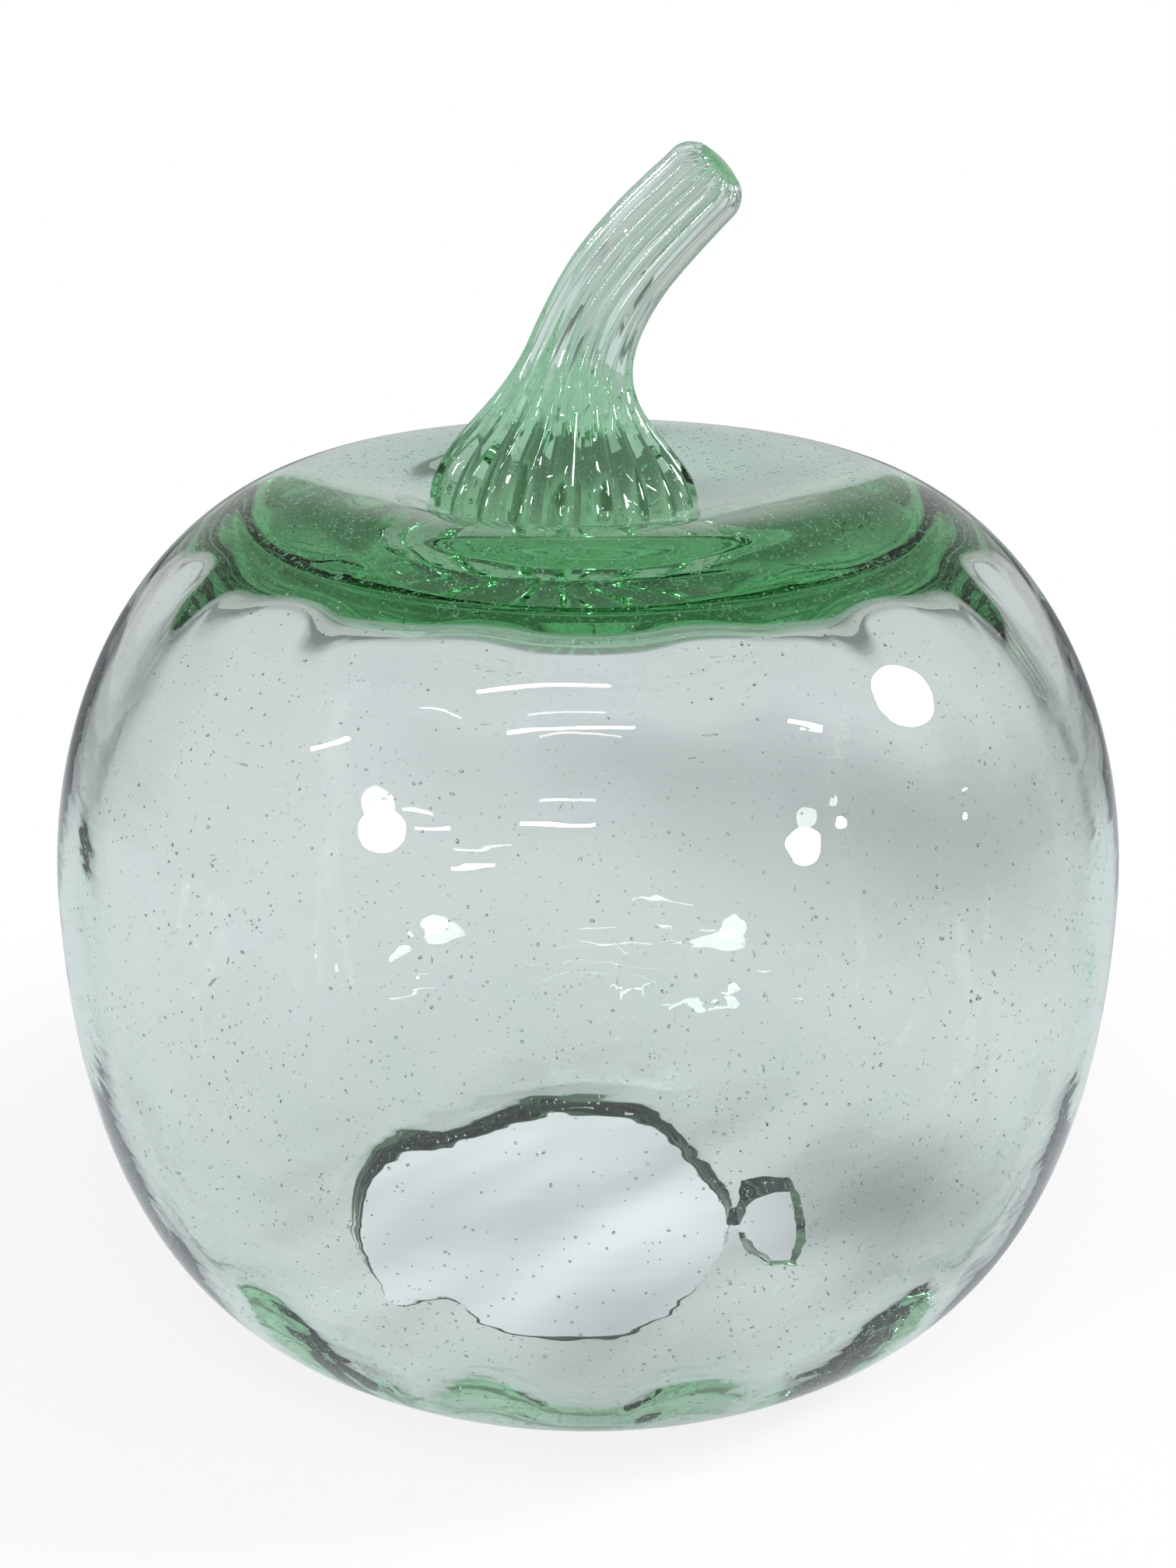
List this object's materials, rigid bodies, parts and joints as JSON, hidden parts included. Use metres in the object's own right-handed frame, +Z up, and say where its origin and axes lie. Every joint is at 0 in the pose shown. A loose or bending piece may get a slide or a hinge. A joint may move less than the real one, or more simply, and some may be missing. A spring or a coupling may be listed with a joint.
{
  "type": "pumpkin ornament",
  "caption": "Hollow pumpkin of pale green seeded glass, ribbed inside and open at the base, with a solid fluted stem bent to one side. Stands on the ring round its base opening.",
  "frame": {"origin": "middle of the standing ring, on the surface that the ornament stands on", "axes": "+Z up along the body's axis, +X the way the stem bends, -Y towards the picture's camera"},
  "size_m": [0.2, 0.2, 0.216],
  "materials": {
    "body_glass": "clear pale green glass with small air bubbles, fire-polished",
    "stem_glass": "clear green glass, fluted and twisted, fire-polished"
  },
  "bodies": {
    "root": {"blown_body": "body_glass", "applied_stem": "stem_glass"}
  },
  "joints": []
}
